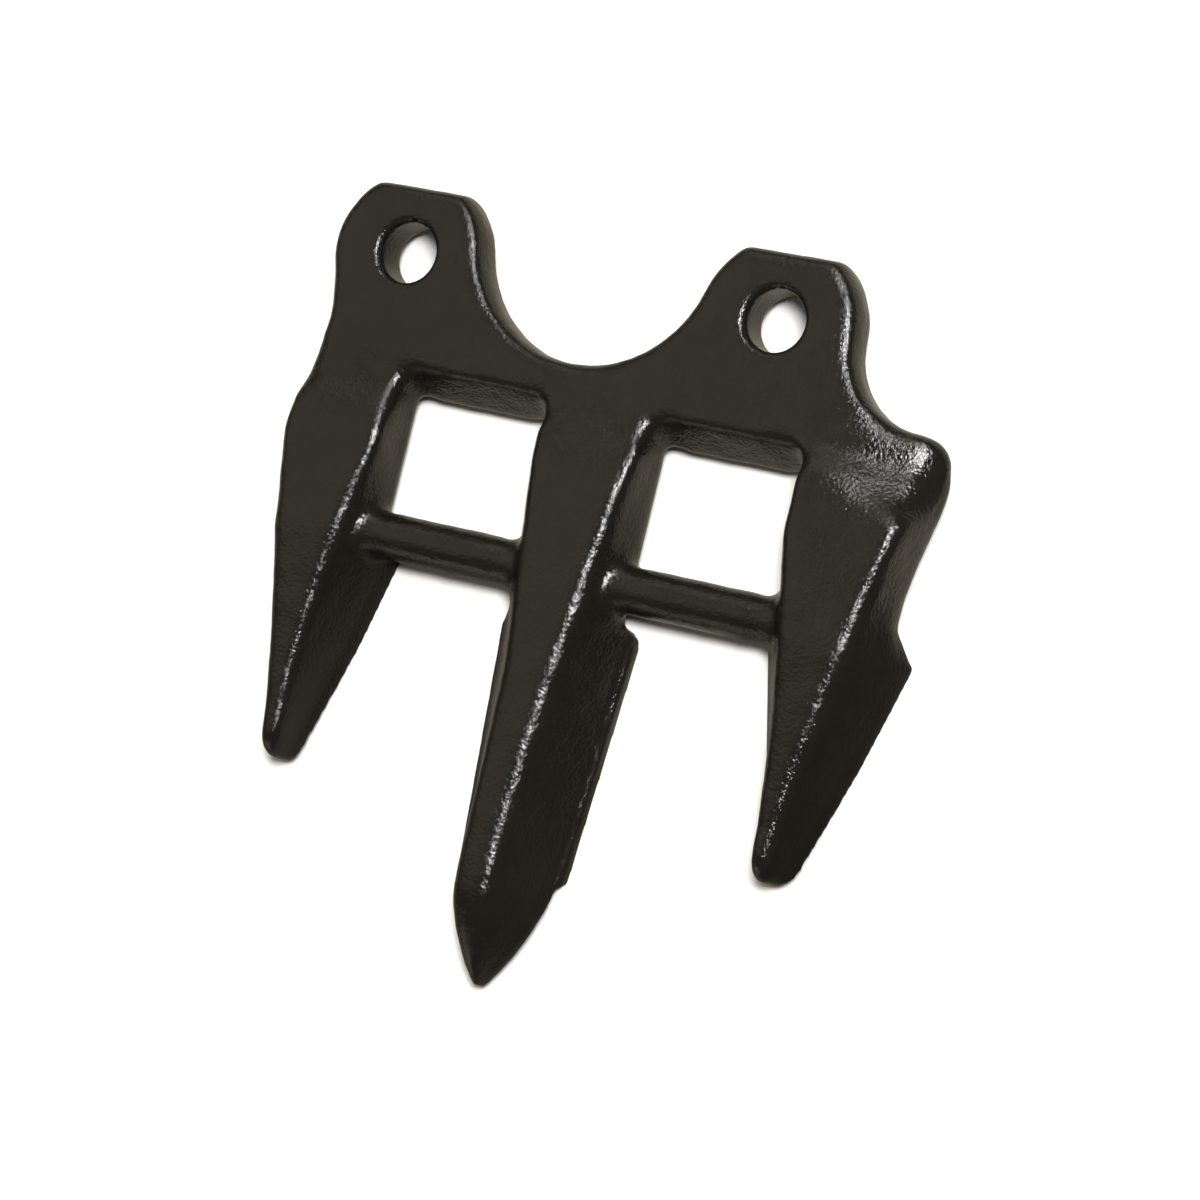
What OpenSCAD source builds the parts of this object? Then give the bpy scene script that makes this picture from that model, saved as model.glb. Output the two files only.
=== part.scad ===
// Three-pronged mower knife guard, forged in one piece.
// The origin is midway between the two bolt holes, on the face that seats on the cutter bar.
// The prongs point towards -Y, and the ribbed front faces +Z.

/* [Bolt ears] */
// Distance between the two bolt holes
bolt_pitch = 76.2; // [72:0.1:82]
// Diameter of the bolt holes
bolt_hole_d = 11.5; // [9:0.1:13]
// Rounding of the front rims of the bolt holes
rim_r = 1.4; // [0.4:0.1:1.8]
// Radius of each ear round its bolt hole
ear_r = 15.8; // [13.5:0.1:16.5]
// Height of the flat on top of each ear above the bolt line
ear_top = 12.8; // [10:0.1:13]
// Distance of the left ear's own centre outside its bolt hole
ear_shift = 0.7; // [0:0.1:1.5]
// Distance from the middle of the bolts to the middle prong, along X
prong_offset = 8.5; // [0:0.1:11]

/* [Plate] */
// Thickness of the plate
plate_t = 8.3; // [7.5:0.1:9.5]
// Height of the plate's back above the undersides of the prongs
seat_step = 3.7; // [2.5:0.1:4.5]
// Depth of the hollow between the ears, below the bolt line
hollow_drop = 14.3; // [11:0.1:16]
// Distance of the plate's lower edge below the bolt line, on the back
plate_drop = 26; // [24:0.1:28]
// Distance that the lower edge slopes back up towards the front face
plate_slope = 5; // [2:0.1:6]
// Width over the shoulders
shoulder_w = 128.4; // [126:0.1:132]
// Distance of the left shoulder's corner below the bolt line
shoulder_drop = 23.5; // [22:0.1:25]
// Height of the right shoulder's corner above the left one's
shoulder_rise = 3.4; // [0:0.1:4]
// Distance of the middle of the shoulders to the right of the middle prong
shoulder_shift = 2.4; // [0:0.1:3]
// Corner radius of the shoulders
shoulder_r = 5.4; // [4:0.1:6.5]
// Radius of the waist between the right ear and its shoulder
waist_r = 15; // [12:0.1:18]
// Radius of the shallower waist on the left
left_waist_r = 28; // [20:0.1:36]
// Rounding of the plate's front edges
edge_r = 2.2; // [1:0.1:2.4]
// Rounding of the plate's back edges
back_r = 0.5; // [0.2:0.1:1.2]
// Draft of the forged walls on each side of the parting line
draft = 0.2; // [0.1:0.05:0.6]

/* [Prongs] */
// Distance between neighbouring prongs
prong_pitch = 50.8; // [49:0.1:53]
// Height of the prongs above their undersides
prong_h = 15; // [14.5:0.1:17]
// Distance from the bolt line to the tip of the middle prong
middle_reach = 129; // [122:0.5:136]
// Distance from the bolt line to the tips of the outer prongs
outer_reach = 98; // [94:0.5:106]
// Half width of the middle prong at the windows
middle_root = 11.6; // [11:0.1:12.4]
// Half width of the outer prongs on the window side
outer_root = 10; // [9.5:0.1:10.8]
// Half width of the outer prongs at the neck above the ledge, on the outer side
outer_neck = 12; // [11:0.1:13]
// Half width that the middle ridge face keeps on its left side
ridge_left = 4.5; // [3:0.1:6]
// Rounding of the ridges
ridge_r = 2; // [1:0.1:2.5]

/* [Ledges] */
// Distance of the middle ledge's heel below the bolt line
middle_heel_drop = 60.4; // [58:0.1:64]
// Distance of the outer ledges' heels below the bolt line
outer_heel_drop = 55; // [53.5:0.1:58]
// Height of the upright edge of the middle ledge
middle_edge = 2.2; // [0.4:0.1:2.6]
// Height of the upright edges of the outer ledges
outer_edge = 0.8; // [0.4:0.1:1.2]
// Height of the top of the ledges' bevels
ledge_h = 3.2; // [2.9:0.1:4]
// Width of the ledges' bevels
ledge_bevel = 1.5; // [0.8:0.1:2]
// Half width of the middle ledge at its heel
middle_heel = 14; // [13.4:0.1:15]
// Half width of the middle ledge at its toe
middle_toe = 10.9; // [10.4:0.1:12]
// Distance from the toe of the middle ledge to the tip
middle_point = 22; // [16:0.5:26]
// Half width of the outer ledges at their heels, on the outer side
outer_heel = 15.6; // [15:0.1:17]
// Half width of the outer ledges at their heels, on the inner side
inner_heel = 12.6; // [12:0.1:13.5]
// Half width of the outer ledges at their toes, on the outer side
outer_toe = 5.2; // [3.6:0.1:6]
// Half width of the outer ledges at their toes, on the inner side
inner_toe = 3.4; // [3:0.1:5]

/* [Crossbars] */
// Diameter of the crossbars
bar_d = 9; // [7:0.1:9.8]
// Distance of the crossbars below the bolt line
bar_drop = 52.5; // [51:0.1:54]
// Height of the middle of the crossbars above the prongs' undersides
bar_z = 7; // [6.8:0.1:7.6]

/* [Hidden] */
paint = [0.09, 0.085, 0.08];
// Overlap that makes joined solids share volume
join = 0.05;
// Gap that keeps the rounded edge just under the plate's two faces
face_gap = 0.03;
// Width that the edge's section and the middle of the plate share
edge_lap = 0.45;
// Depth below the plate's surface at which the prongs start
rise_sink = 0.2;
// Distance that the outer prongs' walls stand outside the plate
wall_cover = 0.6;
// Distance between the sections of a prong, and between those in a fillet
station = 3.5;
fillet_gap = 0.7;
// Points of a ridge's rounding
ridge_points = 4;
// Where the prongs reach their full height, below the bolt line
rise_end = 36;
// Where the right prong reaches its full height, on the steeper shoulder
right_rise_end = 28;
// Width that the prong walls lean in over the ledge's height
wall_lean = 0.4;
// Width that the underside of a prong draws in below the seat
neck_lean = 2.2;
// Half width of a prong's ridge face at its tip
ridge_tip = 1.8;
// Share of a tip's rounding that is drawn before its small end face
tip_share = 0.95;
// Height of the ridges at the very tips
tip_h = 6;
// Height of the side edges of the middle point
point_edge = 4.5;
// Height that the undersides draw up at the tips
tip_lift = 3;
// Where the undersides of the outer prongs start to draw up, below the bolt line
lift_drop = 72;
// Height that an outer ridge loses between its heel and its tip
outer_fall = 2.8;
// Length of the blunt end of an outer prong
outer_point = 5;
// Depth of a crossbar's end inside a prong
bar_sink = 3;
// Length of the slope that leads out to an outer heel
outer_slope = 6;
// Length of the step at a heel or toe of a ledge
ledge_step = 1.6;
// Width that the middle point draws in at its toe
toe_step = 0.7;
// Where the plate's outline runs out into the outer prongs, below the bolt line
cheek_drop = 36;
// Where the outer prongs reach the width of their necks, below the bolt line
neck_drop = 46;
// Angle below the horizontal where the outline leaves the shoulder's corner
cheek_angle = 12;
// Fillets in the upper left and upper right corners of the windows
window_r = [4.8, 3.2];
// Depth that those fillets start inside the prong's wall
window_sink = 1;
// Fillet between a prong's side and the front of the plate's lower edge
root_fillet = 3.4;

ear_x = bolt_pitch / 2;
shoulder_x = shoulder_w / 2 - shoulder_r;
// Height of the plate's front face
plate_top = seat_step + plate_t;
// Width of the section of the plate's rounded edge
edge_w = edge_r + draft + 2 * edge_lap;
// Where the middle prong starts to rise out of the plate, below the bolt line
rise_start = hollow_drop + edge_w;
// Half the distance between the ears, and the hollow that touches both of them
ear_half = ear_x + ear_shift / 2;
hollow_y = (pow(ear_half, 2) - pow(hollow_drop + ear_r, 2)) / (2 * (hollow_drop + ear_r));
hollow_r = hollow_y + hollow_drop;

function direction(from, to) = atan2(to.y - from.y, to.x - from.x);
function smooth(t) = let (s = min(1, max(0, t))) s * s * (3 - 2 * s);
function share(value, from, to) = min(1, max(0, (value - from) / (to - from)));

// Points of an arc from one angle to another, either way round. An open arc leaves out its last point,
// which is the first point of the next arc. A shift moves the points by that share of a step.
function arc(centre, r, from, to, count, open = false, shift = 0) =
    [for (i = [0:count - (open ? 1 : 0)])
        let (a = from + (to - from) * min(1, (i + shift) / count))
        centre + r * [cos(a), sin(a)]];

// Centre of the circle that touches two others, given each centre and summed radius
function touching(a, reach_a, b, reach_b, side) =
    let (
        gap = norm(b - a),
        along = (pow(reach_a, 2) - pow(reach_b, 2) + pow(gap, 2)) / (2 * gap),
        across = sqrt(pow(reach_a, 2) - pow(along, 2)),
        unit = (b - a) / gap
    )
    a + along * unit + side * across * [-unit.y, unit.x];

// Outline of the ears and shoulders from the right outer prong to the left one, moved inwards by inset.
// Its arcs touch one another. A shift sets its points between those of the outline without one.
function ear_outline(inset, shift = 0) =
    let (
        ear_right = [ear_x, 0],
        ear_left = [-ear_x - ear_shift, 0],
        shoulder_right = [prong_offset + shoulder_shift + shoulder_x, shoulder_rise - shoulder_drop],
        shoulder_left = [prong_offset + shoulder_shift - shoulder_x, -shoulder_drop],
        waist_right = touching(ear_right, ear_r + waist_r, shoulder_right, shoulder_r + waist_r, 1),
        waist_left = touching(ear_left, ear_r + left_waist_r, shoulder_left, shoulder_r + left_waist_r, -1),
        hollow = [-ear_shift / 2, hollow_y],
        ear = ear_r - inset,
        shoulder = shoulder_r - inset,
        corner = asin((ear_top - inset) / ear),
        corner_left = shift > 0 ? ear * [[-cos(corner), sin(corner)]] : [],
        lean = atan2(hollow_y, ear_half),
        cheek_x = prong_pitch + outer_neck - inset,
        cheek_y = -cheek_drop - shift
    )
    concat(
        [[prong_offset + cheek_x, cheek_y]],
        arc(shoulder_right, shoulder, -cheek_angle, direction(shoulder_right, waist_right), 10, true, shift),
        arc(waist_right, waist_r + inset, direction(waist_right, shoulder_right) + 360,
            (direction(waist_right, ear_right) + 360) % 360, 9, true, shift),
        arc(ear_right, ear, direction(ear_right, waist_right), corner, 6, false, shift),
        [for (p = corner_left) ear_right + p],
        arc(ear_right, ear, 180 - corner, 180 - lean, 5, true, shift),
        arc(hollow, hollow_r + inset, -lean, lean - 180, 20, true, shift),
        arc(ear_left, ear, lean, corner, 5, false, shift),
        [for (p = corner_left) ear_left + p],
        arc(ear_left, ear, 180 - corner, (direction(ear_left, waist_left) + 360) % 360, 8, true, shift),
        arc(waist_left, left_waist_r + inset, direction(waist_left, ear_left),
            direction(waist_left, shoulder_left), 7, true, shift),
        arc(shoulder_left, shoulder, direction(shoulder_left, waist_left),
            180 + cheek_angle, 7, false, shift),
        [[prong_offset - cheek_x, cheek_y]]
    );

// Lower edge of the plate over one window, with its two corner fillets
function window_top(side, low) =
    let (
        outer_wall = prong_pitch - outer_root,
        from = prong_offset + (side < 0 ? -outer_wall : middle_root) - window_sink,
        to = prong_offset + (side < 0 ? -middle_root : outer_wall) + window_sink
    )
    concat(
        arc([from + window_r[0], low - window_r[0]], window_r[0], 180, 90, 6),
        arc([to - window_r[1], low - window_r[1]], window_r[1], 90, 0, 5)
    );

// Solid through a row of sections that have equal numbers of points
module loft(rings) {
    count = len(rings[0]);
    last = len(rings) - 1;
    polyhedron(
        points = [for (ring = rings) each ring],
        faces = concat(
            [[for (i = [0:count - 1]) i]],
            [for (k = [0:last - 1], i = [0:count - 1])
                let (n = (i + 1) % count) [k * count + i, (k + 1) * count + i, (k + 1) * count + n]],
            [for (k = [0:last - 1], i = [0:count - 1])
                let (n = (i + 1) % count) [k * count + i, (k + 1) * count + n, k * count + n]],
            [[for (i = [count - 1:-1:0]) last * count + i]]
        ),
        convexity = 6
    );
}

// Inset and height of the points round the plate's rounded edge, from the front to the back
function edge_section() =
    let (low = seat_step + face_gap, high = plate_top - face_gap)
    concat(
        [[edge_w, high]],
        [for (a = [90:-30:0]) [draft + edge_r * (1 - cos(a)), high - edge_r * (1 - sin(a))]],
        [[0, (low + high) / 2]],
        [for (a = [0:30:90]) [draft + back_r * (1 - cos(a)), low + back_r * (1 - sin(a))]],
        [[edge_w, low]]
    );

// Plate with its two ears. A rounded edge runs round the ears and shoulders, and the lower edge
// slopes back over the windows.
module plate() {
    outlines = [for (p = edge_section()) ear_outline(p[0])];
    heights = [for (p = edge_section()) p[1]];
    loft([
        for (i = [0:len(outlines[0]) - 1])
            [for (k = [0:len(heights) - 1]) [outlines[k][i].x, outlines[k][i].y, heights[k]]]
    ]);
    difference() {
        translate([0, 0, seat_step])
            linear_extrude(plate_t)
                polygon(concat(
                    ear_outline(edge_w - edge_lap, 0.5),
                    [[prong_offset - prong_pitch, -cheek_drop]],
                    window_top(-1, -plate_drop),
                    window_top(1, -plate_drop),
                    [[prong_offset + prong_pitch, -cheek_drop]]
                ));
        translate([prong_offset, -plate_drop, seat_step])
            rotate([-atan2(plate_slope, plate_t), 0, 0])
                translate([-prong_pitch, -plate_drop, -plate_t])
                    cube([2 * prong_pitch, plate_drop, 4 * plate_t]);
    }
}

// Rounded corner between two straight edges, as points from one edge to the other
function round_corner(from, corner, to) =
    let (
        size_a = min(ridge_r, norm(from - corner) / 2.5),
        size_b = min(ridge_r, norm(to - corner) / 2.5),
        a = corner + size_a * (from - corner) / norm(from - corner),
        b = corner + size_b * (to - corner) / norm(to - corner)
    )
    [for (i = [0:ridge_points - 1]) let (t = i / (ridge_points - 1))
        (1 - t) * (1 - t) * a + 2 * t * (1 - t) * corner + t * t * b];

// Section of a prong at a drop below the bolt line. The ridge of each side is [half width, height],
// and so are the walls of each side, from the underside up.
function prong_section(x, drop, left_walls, left_ridge, right_walls, right_ridge) =
    let (
        right = [for (w = right_walls) [w[0], min(w[1], right_ridge[1] * 0.6 + w[1] * 0.05)]],
        left = [for (w = left_walls) [-w[0], min(w[1], left_ridge[1] * 0.6 + w[1] * 0.05)]],
        right_top = [min(right_ridge[0], right[2][0] * 0.97), right_ridge[1]],
        left_top = [max(-left_ridge[0], left[2][0] * 0.97), left_ridge[1]],
        profile = concat(
            right,
            round_corner(right[2], right_top, left_top),
            round_corner(right_top, left_top, left[2]),
            [left[2], left[1], left[0]]
        )
    )
    [for (p = profile) [x + p[0], -drop, p[1]]];

// Width that a prong's side gains in the fillet below the plate's lower edge
function root_flare(drop) =
    let (front = plate_drop - plate_slope, t = share(drop, front, front + root_fillet))
    root_fillet * (1 - sqrt(1 - pow(1 - t, 2)));

// Walls of a prong above its ledge, leaning in below the seat, of a ledge and of the middle point
function neck_walls(half, drop, start) =
    let (sunk = smooth(share(drop, start, plate_drop)), low = seat_step + back_r + rise_sink)
    [
        [half - neck_lean * sunk - join, low * (1 - sunk)],
        [half, low + join],
        [half - wall_lean, seat_step + ledge_h]
    ];
function ledge_walls(half, low, edge) =
    let (bevel = min(ledge_bevel, half / 3))
    [[half - min(low, half / 3), low], [half - join, low + edge], [half - bevel, low + ledge_h]];
function point_walls(half, t) =
    let (edge = ledge_h + (point_edge - ledge_h) * smooth(t / 0.4))
    [[half * 0.75, tip_lift * t], [half, edge], [half - min(ledge_bevel, half / 3), edge + ledge_bevel]];

// Width of a ridge face that narrows from its root to its tip along a curve
function ridge_width(drop, root, reach, bend) =
    ridge_tip + (root - ridge_tip) * pow(1 - share(drop, plate_drop, reach), bend);

// Height of a prong where it rises out of the plate
function rise(drop, start, end) =
    let (low = plate_top - rise_sink)
    low + (prong_h - low) * smooth(share(drop, start, end));

// Shape of a pointed end, from 1 at its start to 0 at the tip
function point_shape(t) = pow(max(0, 1 - pow(t, 1.7)), 0.9);

// Drops of the evenly spaced sections between two limits, and of a neck with more of them in its fillet
function stations(from, to, gap = station) =
    let (count = ceil((to - from) / gap))
    [for (i = [0:count]) from + (to - from) * i / count];
function neck_stations(from, to) =
    let (front = plate_drop - plate_slope, end = front + root_fillet)
    concat(
        [for (drop = stations(from, front)) if (drop < front - fillet_gap / 2) drop],
        stations(front, end, fillet_gap),
        [for (drop = stations(end, to)) if (drop > end + fillet_gap / 2) drop]
    );

// The middle prong, with a ledge along each side and a point
module middle_prong() {
    toe = middle_reach - middle_point;
    ledge = function (drop)
        middle_heel + (middle_toe - middle_heel) * share(drop, middle_heel_drop, toe);
    drops = concat(
        neck_stations(rise_start, middle_heel_drop - ledge_step),
        stations(middle_heel_drop, toe),
        stations(toe + ledge_step, middle_reach)
    );
    loft([
        for (drop = drops)
            let (
                t = share(drop, toe + ledge_step, middle_reach),
                point = join + (middle_toe - toe_step) * point_shape(tip_share * t),
                walls = drop < middle_heel_drop ? neck_walls(middle_root + root_flare(drop), drop, rise_start)
                    : drop <= toe ? ledge_walls(ledge(drop), 0, middle_edge)
                    : point_walls(point, t),
                width = ridge_width(drop, middle_root - wall_lean, toe + ledge_step, 1.5) + root_flare(drop),
                high = drop <= toe ? rise(drop, rise_start, rise_end)
                    : tip_h + (prong_h - tip_h) * (1 - t * t),
                left_width = max(width, ridge_left),
                narrow = 1 - t * t
            )
            prong_section(prong_offset, drop, walls, [left_width * narrow + join, high],
                walls, [width * narrow + join, high])
    ]);
}

// An outer prong about its own axis, as seen on the right. Its outer side runs up into the shoulder.
module outer_prong(side) {
    taper = outer_reach - outer_point;
    neck_end = outer_heel_drop - outer_slope;
    corner_drop = shoulder_drop - (side > 0 ? shoulder_rise : 0);
    corner_x = shoulder_x + side * shoulder_shift - prong_pitch;
    start = corner_drop - shoulder_r * 0.75;
    full_drop = side > 0 ? right_rise_end : rise_end;
    ledge = function (drop, heel, toe)
        heel + (toe - heel) * share(drop, outer_heel_drop, taper);
    shoulder = function (drop)
        drop < corner_drop
            ? corner_x + sqrt(pow(shoulder_r, 2) - pow(corner_drop - drop, 2))
            : corner_x + shoulder_r
                + (outer_neck - corner_x - shoulder_r) * smooth(share(drop, corner_drop, neck_drop));
    drops = concat(
        neck_stations(start, neck_end),
        stations(outer_heel_drop, taper),
        [for (i = [1:6]) taper + outer_point * sin(15 * i)]
    );
    loft([
        for (drop = drops)
            let (
                t = share(drop, taper, outer_reach),
                blunt = sqrt(1 - pow(tip_share * t, 2)),
                low = tip_lift * pow(share(drop, lift_drop, outer_reach), 2),
                climb = smooth(share(drop, start, corner_drop + shoulder_r)),
                outer_half = shoulder(drop) + wall_cover * (2 * climb - 1),
                inner_walls = drop < outer_heel_drop ? neck_walls(outer_root + root_flare(drop), drop, start)
                    : ledge_walls(ledge(drop, inner_heel, inner_toe) * blunt + join, low, outer_edge),
                outer_walls = drop < outer_heel_drop ? neck_walls(outer_half, drop, start)
                    : ledge_walls(ledge(drop, outer_heel, outer_toe) * blunt + join, low, outer_edge),
                inner_spread = ridge_width(drop, outer_root + 3, taper, 2.2) + root_flare(drop),
                inner_width = inner_spread * blunt + join,
                outer_width = ridge_width(drop, outer_neck + 2, taper, 1.3) * blunt + join,
                fall = outer_fall * share(drop, outer_heel_drop, taper),
                high = drop <= taper ? rise(drop, start, full_drop) - fall
                    : tip_h + (prong_h - outer_fall - tip_h) * blunt
            )
            prong_section(0, drop, inner_walls, [inner_width, high],
                outer_walls, [outer_width, high - edge_r * (1 - climb)])
    ]);
}

// Round bar between the middle prong and an outer one
module crossbar() {
    span = prong_pitch - outer_root - middle_root;
    translate([middle_root + span / 2, -bar_drop, bar_z])
        rotate([0, 90, 0])
            cylinder(d = bar_d, h = span + 2 * bar_sink, center = true, $fn = 48);
}

// Bolt hole with a rounded front rim, as the solid that is cut away
module bolt_hole() {
    hole_r = bolt_hole_d / 2;
    rim = [for (a = [0:30:90]) [hole_r + rim_r * (1 - sin(a)), rim_r * (1 - cos(a))]];
    translate([0, 0, seat_step - 1])
        cylinder(d = bolt_hole_d, h = plate_t + 2, $fn = 48);
    translate([0, 0, plate_top])
        mirror([0, 0, 1])
            rotate_extrude($fn = 48)
                polygon(concat(
                    [[0, -1], [hole_r + rim_r, -1]],
                    rim,
                    [[0, rim_r]]
                ));
}

module guard() {
    color(paint)
        translate([0, 0, -seat_step])
            difference() {
                union() {
                    plate();
                    middle_prong();
                    for (side = [0, 1])
                        translate([prong_offset, 0, 0])
                            mirror([side, 0, 0]) {
                                translate([prong_pitch, 0, 0])
                                    outer_prong(1 - 2 * side);
                                crossbar();
                            }
                }
                for (side = [-1, 1])
                    translate([side * ear_x, 0, 0])
                        bolt_hole();
            }
}

guard();
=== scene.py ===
from math import cos, pi, radians, sin

import bmesh
import bpy
import numpy as np
from mathutils import Matrix, Quaternion, Vector, kdtree, noise


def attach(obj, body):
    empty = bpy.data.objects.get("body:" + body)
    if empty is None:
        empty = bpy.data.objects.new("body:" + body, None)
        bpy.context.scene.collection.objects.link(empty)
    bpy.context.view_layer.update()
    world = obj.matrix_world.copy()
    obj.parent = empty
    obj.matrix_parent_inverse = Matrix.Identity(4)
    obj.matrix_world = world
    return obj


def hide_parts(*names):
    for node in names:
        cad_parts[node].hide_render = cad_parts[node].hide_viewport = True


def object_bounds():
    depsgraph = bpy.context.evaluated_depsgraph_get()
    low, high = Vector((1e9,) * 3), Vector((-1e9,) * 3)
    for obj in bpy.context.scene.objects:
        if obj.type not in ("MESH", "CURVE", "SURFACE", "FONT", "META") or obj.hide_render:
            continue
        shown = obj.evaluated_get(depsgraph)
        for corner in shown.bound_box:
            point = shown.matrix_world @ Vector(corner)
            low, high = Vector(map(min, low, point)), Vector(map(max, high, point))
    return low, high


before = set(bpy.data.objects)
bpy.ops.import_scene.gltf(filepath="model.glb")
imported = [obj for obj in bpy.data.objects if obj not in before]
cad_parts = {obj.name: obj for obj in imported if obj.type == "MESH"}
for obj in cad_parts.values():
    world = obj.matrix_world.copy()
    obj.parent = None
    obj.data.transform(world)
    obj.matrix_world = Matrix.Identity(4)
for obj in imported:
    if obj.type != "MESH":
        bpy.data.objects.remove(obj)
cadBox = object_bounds()
print("frame loaded")

# camera fitted to the photo: its place, and where the picture's right and top point
view = {
    "position": (0.30494, -0.07773, 0.61320),  # metres, as all lengths in this file but lens and sensor
    "right": (0.88121, 0.23597, -0.40963),
    "up": (-0.19955, 0.97120, 0.13018),
    "lens": 111.64,  # millimetres
    "sensor": 36.0,
    "clipStart": 0.01,
}


def makeCamera():
    camera = bpy.data.objects.new("camera", bpy.data.cameras.new("camera"))
    right, up = Vector(view["right"]), Vector(view["up"])
    turn = Matrix((right, up, right.cross(up))).transposed()
    camera.matrix_world = Matrix.Translation(view["position"]) @ turn.to_4x4()
    camera.data.lens = view["lens"]
    camera.data.sensor_width = view["sensor"]
    camera.data.clip_start = view["clipStart"]
    bpy.context.scene.collection.objects.link(camera)
    bpy.context.scene.camera = camera
    print("camera placed")


# a socket in a node tree; arithmetic on it adds Math nodes
class Wire:
    def __init__(self, tree, socket=None):
        self.tree = tree
        self.socket = socket

    # sockets are given by name, or by place as s0, s1 and so on where names repeat
    def node(self, kind, settings=None, out=0, **sockets):
        made = self.tree.nodes.new(kind)
        for key, value in (settings or {}).items():
            setattr(made, key, value)
        for key, value in sockets.items():
            target = made.inputs[int(key[1:]) if key[1:].isdigit() else key.replace("_", " ")]
            if isinstance(value, Wire):
                self.tree.links.new(value.socket, target)
            else:
                target.default_value = value
        return Wire(self.tree, made.outputs[out])

    def feed(self, shader, name):
        self.tree.links.new(self.socket, shader.inputs[name])

    # the first colour where this is 0, the second where it is 1
    def blend(self, first, second):
        return self.node("ShaderNodeMix", {"data_type": "RGBA"}, out=2, s0=self, s6=first, s7=second)

    def maths(self, operation, other, swapped=False):
        first, second = (other, self) if swapped else (self, other)
        return self.node("ShaderNodeMath", {"operation": operation}, s0=first, s1=second)

    def __add__(self, other):
        return self.maths("ADD", other)

    __radd__ = __add__

    def __sub__(self, other):
        return self.maths("SUBTRACT", other)

    def __rsub__(self, other):
        return self.maths("SUBTRACT", other, True)

    def __mul__(self, other):
        return self.maths("MULTIPLY", other)

    __rmul__ = __mul__


def newMaterial(name):
    material = bpy.data.materials.new(name)
    material.use_nodes = True
    start = Wire(material.node_tree)
    place = start.node("ShaderNodeTexCoord", out="Object")
    return material, material.node_tree.nodes["Principled BSDF"], start, place


# plain and pale to the camera; glossy rays see painted reflection colours instead, darker near the part
# and darkest beyond the lines below
floorSet = {
    "size": 6.0,
    "colour": (0.86, 0.86, 0.86, 1.0),
    "roughness": 0.9,
    "specular": 0.1,
    # painted reflection: colours the floor has only for glossy rays, a darker warm one near the part and
    # a near-black one further out
    "paintedReflectionNear": (0.38, 0.35, 0.285, 1.0),
    "paintedReflectionFar": (0.02, 0.018, 0.015, 1.0),
    "rightReflectionShade": ((1.0, -0.45, 0.0), (0.103, 0.113)),  # a direction, and the reach over which the painted reflection darkens
    "leftReflectionShade": ((-1.0, -1.0, 0.0), (0.058, 0.066)),
    "innerReflectionShade": ((1.0, 0.0, 0.0), (0.034, 0.040)),
    "lowSide": ((0.0, -1.0, 0.0), (0.048, 0.056)),  # the left and inner painted darkenings of the reflection act beyond this alone
    "sideDepth": 0.62,  # and this much
}


def makeFloorPaint():
    material, shader, start, place = newMaterial("paleFloorPaintedReflection")
    shader.inputs["Roughness"].default_value = floorSet["roughness"]
    shader.inputs["Specular IOR Level"].default_value = floorSet["specular"]

    def beyond(name):
        direction, (low, high) = floorSet[name]
        dot = {"operation": "DOT_PRODUCT"}
        along = start.node("ShaderNodeVectorMath", dot, out="Value", s0=place, s1=direction)
        return start.node("ShaderNodeMapRange", Value=along, From_Min=low, From_Max=high)

    # painted reflection: beyond these lines the floor's colour for glossy rays is painted darker
    sides = 1.0 - (1.0 - beyond("leftReflectionShade")) * (1.0 - beyond("innerReflectionShade"))
    sides = sides * beyond("lowSide") * floorSet["sideDepth"]
    near = (1.0 - beyond("rightReflectionShade")) * (1.0 - sides)
    paintedReflection = near.blend(floorSet["paintedReflectionFar"], floorSet["paintedReflectionNear"])
    # glossy rays see the painted reflection colours, all other rays the pale floor
    glossy = start.node("ShaderNodeLightPath", out="Is Glossy Ray")
    glossy.blend(floorSet["colour"], paintedReflection).feed(shader, "Base Color")
    return material


def makeFloor():
    work = bmesh.new()
    bmesh.ops.create_grid(work, x_segments=1, y_segments=1, size=floorSet["size"] / 2)
    mesh = bpy.data.meshes.new("floor")
    work.to_mesh(mesh)
    work.free()
    floor = bpy.data.objects.new("floor", mesh)
    floor.location.z = cadBox[0][2]
    bpy.context.scene.collection.objects.link(floor)
    mesh.materials.append(makeFloorPaint())
    print("floor laid")


studio = {
    "worldColour": (1.0, 0.93, 0.80, 1.0),
    "worldStrength": 0.08,
    "aim": (0.01, -0.05, 0.0),  # every light points here
    "lights": (  # turn is in degrees, about the line to the aim
        {"name": "flashBox", "position": (0.62, 0.16, 1.30), "size": (0.26, 0.36), "turn": 0.0,
         "power": 25.0, "colour": (1.0, 0.98, 0.95)},
        {"name": "sideStrip", "position": (0.39, 0.58, 1.26), "size": (1.0, 0.22), "turn": -27.6,
         "power": 10.5, "colour": (1.0, 0.98, 0.95)},
        {"name": "ceilingCard", "position": (-0.88, 0.16, 1.21), "size": (1.1, 1.66), "turn": 0.0,
         "power": 2.9, "colour": (1.0, 0.88, 0.67)},
        {"name": "backCard", "position": (-0.40, 1.05, 0.84), "size": (1.0, 0.6), "turn": 0.0,
         "power": 1.6, "colour": (1.0, 0.93, 0.80)},
        {"name": "lowCard", "position": (-0.66, -1.30, 0.30), "size": (1.0, 0.5), "turn": 0.0,
         "power": 1.5, "colour": (1.0, 0.91, 0.74)},
    ),
}


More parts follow.
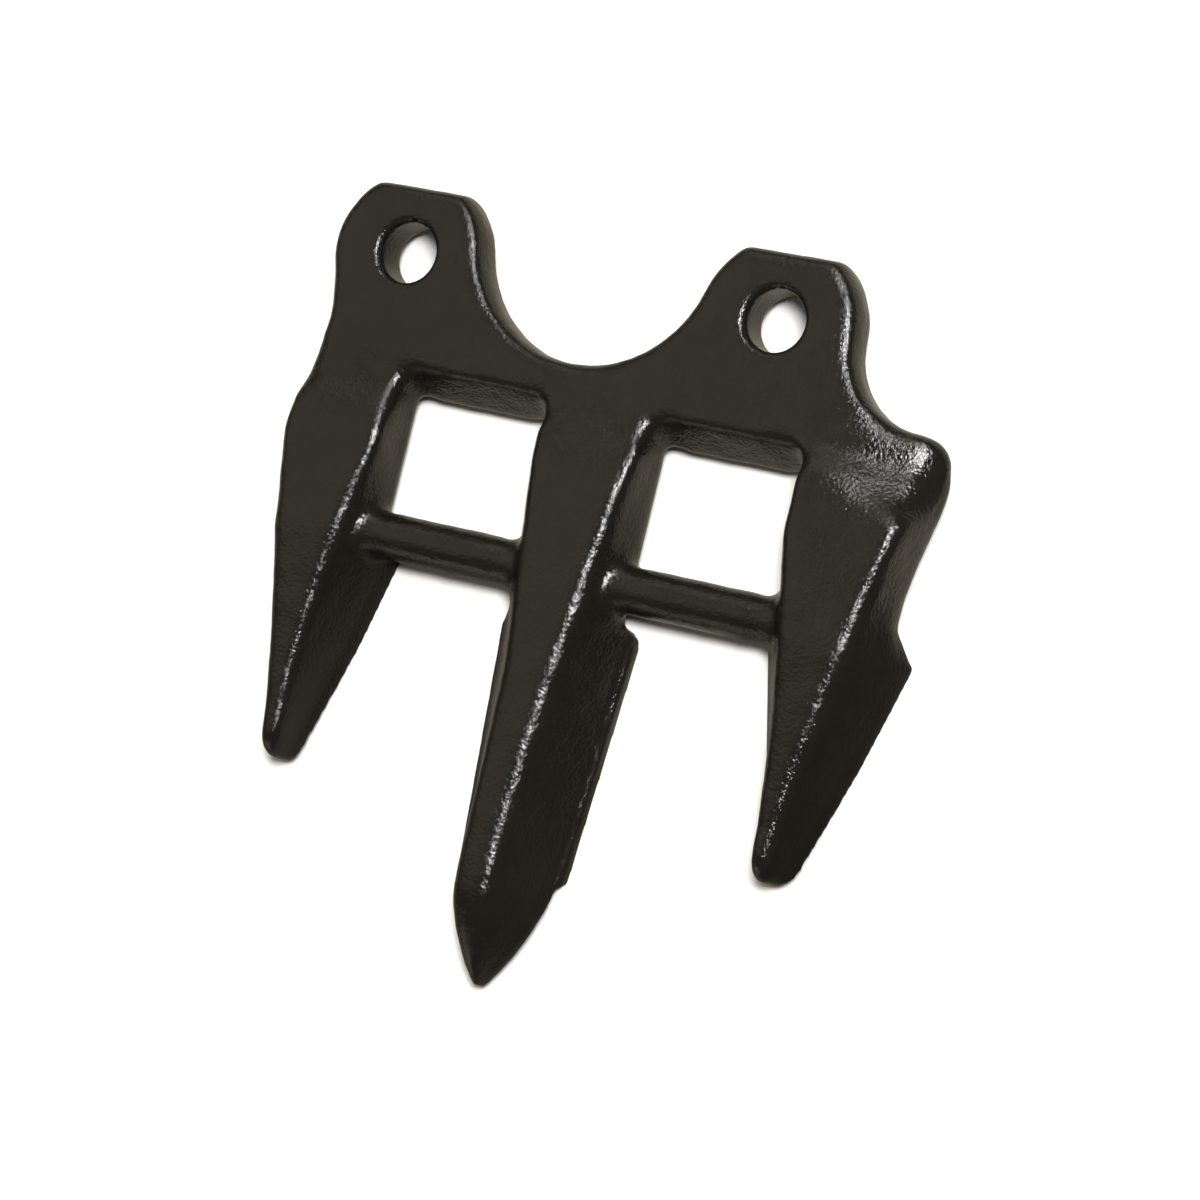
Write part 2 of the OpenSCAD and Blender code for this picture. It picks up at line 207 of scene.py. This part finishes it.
def makeStudio():
    world = bpy.data.worlds.new("studio")
    world.use_nodes = True
    background = world.node_tree.nodes["Background"]
    background.inputs["Color"].default_value = studio["worldColour"]
    background.inputs["Strength"].default_value = studio["worldStrength"]
    bpy.context.scene.world = world
    bpy.context.scene.view_settings.view_transform = "Standard"
    for light in studio["lights"]:
        data = bpy.data.lights.new(light["name"], "AREA")
        data.shape = "RECTANGLE"
        data.size, data.size_y = light["size"]
        data.energy = light["power"]
        data.color = light["colour"]
        lamp = bpy.data.objects.new(light["name"], data)
        lamp.location = light["position"]
        facing = (Vector(studio["aim"]) - lamp.location).to_track_quat("-Z", "Y")
        roll = Quaternion((0.0, 0.0, 1.0), radians(light["turn"]))
        lamp.rotation_euler = (facing @ roll).to_euler()
        bpy.context.scene.collection.objects.link(lamp)
    print("stage lit")


def smoothStep(values, low, high):
    t = np.clip((values - low) / (high - low), 0.0, 1.0)
    return t * t * (3.0 - 2.0 * t)


# rises to 1 over the first range, and falls to 0 over the second
def band(values, rise, fall):
    return smoothStep(values, *rise) * (1.0 - smoothStep(values, *fall))


def vectorArray(items, key):
    values = np.empty(len(items) * 3, dtype=np.float32)
    items.foreach_get(key, values)
    return values.reshape(-1, 3).astype(np.float64)


def placeVertices(mesh, points):
    mesh.vertices.foreach_set("co", points.astype(np.float32).ravel())
    mesh.update()


def noiseArray(points, scale):
    return np.array([noise.noise(Vector(point)) for point in points * scale])


windowSides = (-0.0323, -0.0031, 0.0201, 0.0493)  # X of the two windows' left and right sides

forging = {
    "mergeDistance": 1e-6,
    "remeshDepth": 8,
    "remeshFill": 0.97,
    "smoothPull": 0.5,  # how far a pass pulls a vertex to the middle of its neighbours
    "crispPasses": 3,  # everywhere but in the bolt holes
    "smoothPasses": 10,  # then on the upper side
    "softPasses": 36,  # and last in the soft spots
    "holeCentres": ((-0.0381, 0.0), (0.0381, 0.0)),
    "holeGuard": (0.0070, 0.0085),  # radii over which smoothing sets in
    "crispBelow": (-0.0015, 0.0013),  # heights over which the upper side sets in
    "lumpScale": 210.0,
    "lumpDepth": 0.00011,
    "pitScale": 640.0,
    "pitDepth": 0.00004,
    "crispLumps": 0.25,  # share of lumps and pits in the holes and on the underside
    # right shoulder: its top falls away to the right, and the ramp below it starts later there
    "fallStart": 0.057,
    "fallBend": 0.012,
    "fallRadius": 0.055,
    "fallLow": (-0.0325, -0.0270),
    "fallTop": (-0.018, -0.010),
    "fallHeight": (0.0, 0.009),
    "lagDepth": 0.003,
    "lagAcross": (0.054, 0.068),
    "lagFrom": (0.0160, 0.0280),
    "lagTo": (0.0205, 0.0325),
    # a round edge joins its top face to its outer wall, both found by their normals
    "edgeRadius": 0.0062,
    "edgeLow": (-0.033, -0.026),
    "edgeTop": (-0.019, -0.012),
    "wallHeight": (0.0015, 0.0045),
    "wallOutward": 0.1,  # least X of a wall's normal
    "wallTilt": 0.3,  # most Z, up or down
    "faceAcross": (0.060, 0.068),
    "faceUp": 0.8,  # least Z of the face's normal
    "stripStep": 0.001,  # the face's height is read in strips along Y
    "stripHalf": 0.0008,
    # soft spots, where forging and paint fill the corners: middles and half sizes of ellipsoids
    "softRange": 0.7,
    "softSpots": (
        ((0.0593, -0.0190, 0.0090), (0.021, 0.007, 0.005)),  # feet of the ramps, right, middle and left
        ((0.0085, -0.0195, 0.0090), (0.017, 0.008, 0.005)),
        ((-0.0423, -0.0240, 0.0090), (0.018, 0.008, 0.005)),
        *(((x, -0.0525, 0.0033), (0.005, 0.0075, 0.0075)) for x in windowSides),  # ends of the crossbars
        *(((x, -0.0240, 0.0040), (0.006, 0.006, 0.008)) for x in windowSides),  # windows' upper corners
        ((0.0225, -0.0604, -0.0015), (0.003, 0.003, 0.003)),  # heels of the middle prong's ledges
        ((-0.0055, -0.0604, -0.0015), (0.003, 0.003, 0.003)),
    ),
}


def smoothMesh(mesh, weights, passes):
    edges = np.empty(len(mesh.edges) * 2, dtype=np.int32)
    mesh.edges.foreach_get("vertices", edges)
    edges = edges.reshape(-1, 2)
    degree = np.bincount(edges.ravel(), minlength=len(mesh.vertices)).astype(np.float64)[:, None]
    points = vectorArray(mesh.vertices, "co")
    pull = forging["smoothPull"] * weights[:, None]
    for _ in range(passes):
        total = np.zeros_like(points)
        np.add.at(total, edges[:, 0], points[edges[:, 1]])
        np.add.at(total, edges[:, 1], points[edges[:, 0]])
        points += pull * (total / degree - points)
    placeVertices(mesh, points)


def shoulderDrop(points):
    x, y, z = points.T
    across = np.clip(x - forging["fallStart"], 0.0, None)
    bent = np.minimum(across, forging["fallBend"])
    fall = (across - bent / 2) * bent / forging["fallRadius"]
    fall = fall * band(y, forging["fallLow"], forging["fallTop"])
    lag = smoothStep(-y, *forging["lagFrom"]) - smoothStep(-y, *forging["lagTo"])
    lag = lag * forging["lagDepth"] * smoothStep(x, *forging["lagAcross"])
    return (fall + lag) * smoothStep(z, *forging["fallHeight"])


# lays what is near the shoulder's edge, face and wall alike, round a quarter circle
def shoulderRounding(points, normals):
    x, y, z = points.T
    radius = forging["edgeRadius"]
    lowY, highY = forging["edgeLow"][0], forging["edgeTop"][1]
    near = (x > forging["faceAcross"][0]) & (y > lowY) & (y < highY)
    wall = near & (z > forging["wallHeight"][0]) & (z < forging["wallHeight"][1])
    wall &= (normals[:, 0] > forging["wallOutward"]) & (np.abs(normals[:, 2]) < forging["wallTilt"])
    plan = kdtree.KDTree(int(wall.sum()))
    for index in np.flatnonzero(wall):
        plan.insert(Vector((x[index], y[index], 0.0)), int(index))
    plan.balance()
    face = near & (x < forging["faceAcross"][1]) & (normals[:, 2] > forging["faceUp"])
    strips = np.arange(lowY, highY, forging["stripStep"])
    tops = [z[face & (np.abs(y - middle) < forging["stripHalf"])].max() for middle in strips]
    moved = points.copy()
    for index in np.flatnonzero(near & (z > 0.0)):
        found = plan.find(Vector((x[index], y[index], 0.0)))[1]
        outward = Vector(normals[found][:2]).normalized()
        inside = (Vector(points[found][:2]) - Vector(points[index][:2])).dot(outward)
        top = np.interp(y[index], strips, tops)
        below = top - z[index]
        if inside > radius or below > radius:
            continue
        turn = (max(below, 0.0) - max(inside, 0.0) + radius) / radius * pi / 4
        shift = radius * (1.0 - sin(turn)) - max(inside, 0.0)
        height = top - radius * (1.0 - cos(turn))
        moved[index] = (x[index] - outward.x * shift, y[index] - outward.y * shift, height)
    share = band(y, forging["edgeLow"], forging["edgeTop"])
    return points + (moved - points) * share[:, None]


def fineCopy(node, name):
    mesh = node.data.copy()
    mesh.materials.clear()
    work = bmesh.new()
    work.from_mesh(mesh)
    bmesh.ops.remove_doubles(work, verts=work.verts, dist=forging["mergeDistance"])
    work.to_mesh(mesh)
    work.free()
    obj = bpy.data.objects.new(name, mesh)
    bpy.context.scene.collection.objects.link(obj)
    remesh = obj.modifiers.new("remesh", "REMESH")
    remesh.mode = "SHARP"
    remesh.octree_depth = forging["remeshDepth"]
    remesh.scale = forging["remeshFill"]
    remesh.use_remove_disconnected = False
    depsgraph = bpy.context.evaluated_depsgraph_get()
    fine = bpy.data.meshes.new_from_object(obj.evaluated_get(depsgraph), depsgraph=depsgraph)
    obj.modifiers.clear()
    obj.data = fine
    print("remeshed", len(fine.vertices))
    return obj


def makeForging(node):
    obj = fineCopy(node, "guardForging")
    fine = obj.data
    points = vectorArray(fine.vertices, "co")
    x, y, z = points.T
    fromHoles = [np.hypot(x - holeX, y - holeY) for holeX, holeY in forging["holeCentres"]]
    keep = smoothStep(np.min(fromHoles, axis=0), *forging["holeGuard"])
    upper = smoothStep(z, *forging["crispBelow"])
    points = shoulderRounding(points, vectorArray(fine.vertex_normals, "vector"))
    points[:, 2] -= shoulderDrop(points)
    placeVertices(fine, points)
    print("shoulder shaped")

    soft = np.zeros(len(points))
    for middle, half in forging["softSpots"]:
        away = (((points - middle) / half) ** 2).sum(axis=1)
        soft = np.maximum(soft, smoothStep(1.0 - away, 0.0, forging["softRange"]))
    smoothMesh(fine, keep, forging["crispPasses"])
    smoothMesh(fine, keep * upper, forging["smoothPasses"])
    smoothMesh(fine, soft * keep, forging["softPasses"])
    print("edges rounded")

    points = vectorArray(fine.vertices, "co")
    normals = vectorArray(fine.vertex_normals, "vector")
    shift = noiseArray(points, forging["lumpScale"]) * forging["lumpDepth"]
    shift = shift + noiseArray(points, forging["pitScale"]) * forging["pitDepth"]
    shift = shift * (forging["crispLumps"] + (1.0 - forging["crispLumps"]) * keep * upper)
    points += normals * shift[:, None]
    low, high = (np.array(corner) for corner in cadBox)
    placeVertices(fine, np.clip(points, low, high))
    fine.polygons.foreach_set("use_smooth", np.ones(len(fine.polygons), dtype=bool))
    fine.update()
    print("forged surface", len(fine.polygons))
    return obj


paint = {
    "dark": (0.0050, 0.0044, 0.0033, 1.0),
    "worn": (0.0107, 0.0096, 0.0072, 1.0),
    "clouds": (70.0, 6.0, 0.62),  # scale, detail and roughness of each noise
    "peel": (1500.0, 3.0, 0.5),
    "grain": (3600.0, 2.0, 0.5),
    "roughness": 0.12,
    "cloudRoughness": 0.16,  # how far the clouds and the peel vary it
    "peelRoughness": 0.12,
    "peelShare": 0.75,  # of the bump's height; the rest is grain
    "bumpStrength": 1.0,
    "bumpDepth": 0.00018,
    "ior": 1.5,
}


def makePaint():
    material, shader, start, place = newMaterial("blackPaint")

    def cloud(name):
        scale, detail, rough = paint[name]
        return start.node("ShaderNodeTexNoise", Vector=place, Scale=scale, Detail=detail, Roughness=rough)

    clouds, peel, grain = cloud("clouds"), cloud("peel"), cloud("grain")
    clouds.blend(paint["dark"], paint["worn"]).feed(shader, "Base Color")
    varied = (clouds - 0.5) * paint["cloudRoughness"]
    rough = paint["roughness"] + varied + (peel - 0.5) * paint["peelRoughness"]
    rough.feed(shader, "Roughness")
    height = peel * paint["peelShare"] + grain * (1.0 - paint["peelShare"])
    bump = start.node("ShaderNodeBump", Height=height,
                      Strength=paint["bumpStrength"], Distance=paint["bumpDepth"])
    bump.feed(shader, "Normal")
    shader.inputs["IOR"].default_value = paint["ior"]
    print("paint mixed")
    return material


makeCamera()
makeFloor()
makeStudio()
guard = makeForging(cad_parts["guard"])
guard.data.materials.append(makePaint())
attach(guard, "root")
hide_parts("guard")
